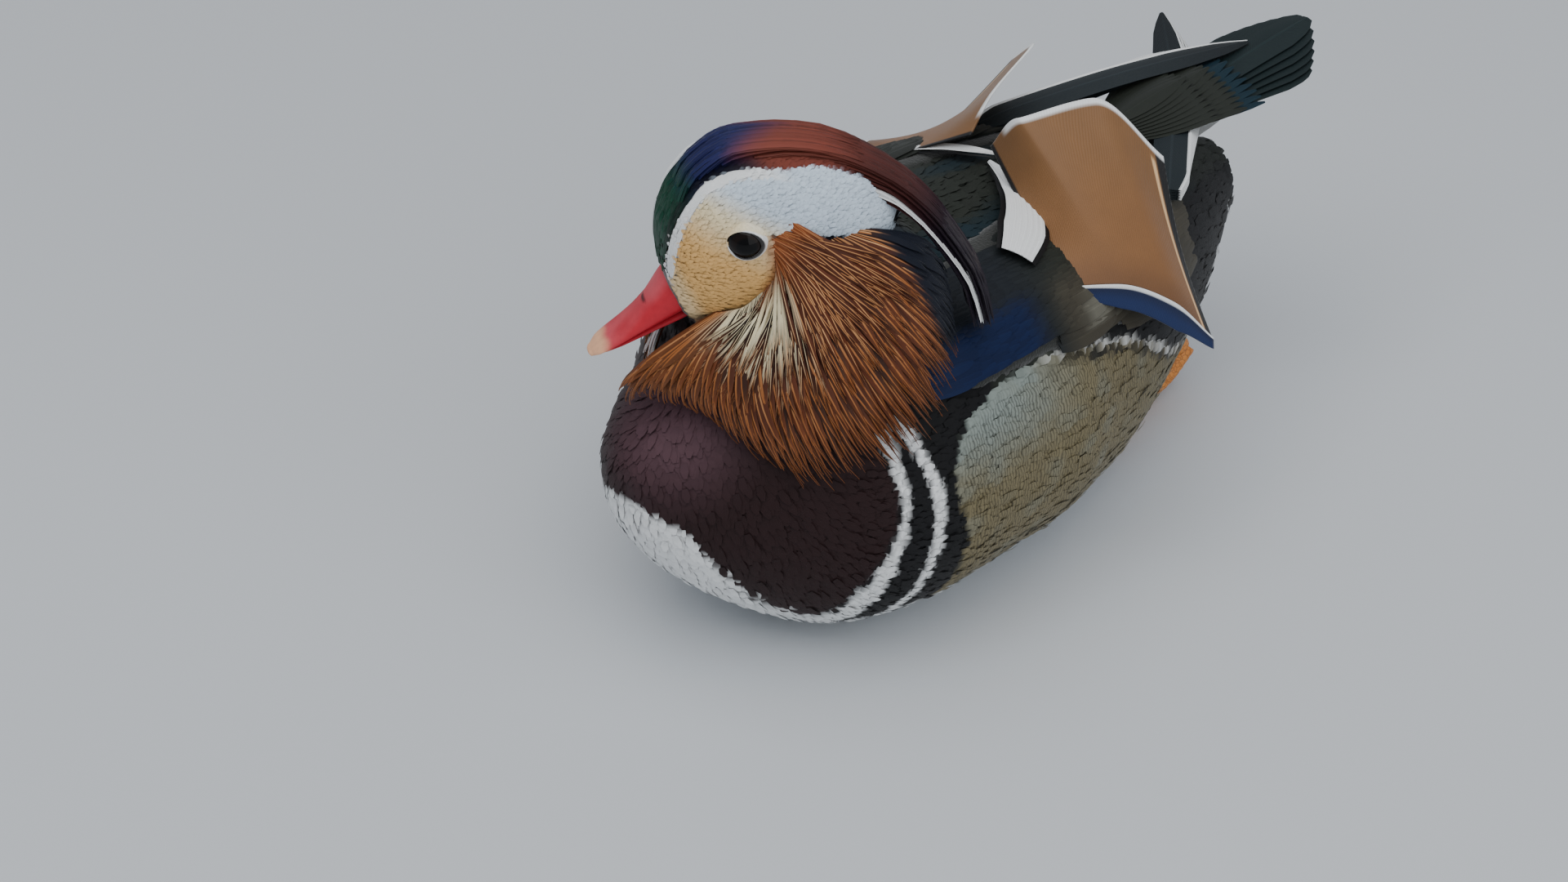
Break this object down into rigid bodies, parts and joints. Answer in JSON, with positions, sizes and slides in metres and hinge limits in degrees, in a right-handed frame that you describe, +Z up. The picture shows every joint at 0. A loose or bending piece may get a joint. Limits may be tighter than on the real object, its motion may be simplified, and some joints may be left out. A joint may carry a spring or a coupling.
{
  "type": "mandarin duck",
  "caption": "Life-size still model of a mandarin duck drake sitting as it floats, belly down, head turned to its right, orange sails up and wing tips crossed.",
  "frame": {"origin": "middle of the flat on the belly where it rests on the floor", "axes": "-Y towards the breast, +Y towards the tail, +X to the bird's left, +Z up"},
  "size_m": [0.1296, 0.2747, 0.1666],
  "materials": {
    "body_feathers": "soft, faint sheen on the breast",
    "head_feathers": "soft, matte",
    "bill_horn": "smooth horn, satin",
    "eye": "wet gloss",
    "crest_feathers": "silky, metallic sheen",
    "ruff_feathers": "silky, pale shafts",
    "wing_feathers": "smooth, blue and teal sheen",
    "sail_feathers": "smooth, silky",
    "flight_feathers": "smooth, teal sheen",
    "leg_scales": "fine scales, satin"
  },
  "bodies": {
    "root": {"torso": "body_feathers", "neck": "body_feathers", "head": "head_feathers", "bill_upper": "bill_horn", "bill_lower": "bill_horn", "eye_left": "eye", "eye_right": "eye", "crest": "crest_feathers", "ruff_left": "ruff_feathers", "ruff_right": "ruff_feathers", "wing_left": "wing_feathers", "wing_right": "wing_feathers", "sail_left": "sail_feathers", "sail_right": "sail_feathers", "primaries_left": "flight_feathers", "primaries_right": "flight_feathers", "tail": "flight_feathers", "leg_left": "leg_scales", "leg_right": "leg_scales", "foot_left": "leg_scales", "foot_right": "leg_scales"}
  },
  "joints": []
}
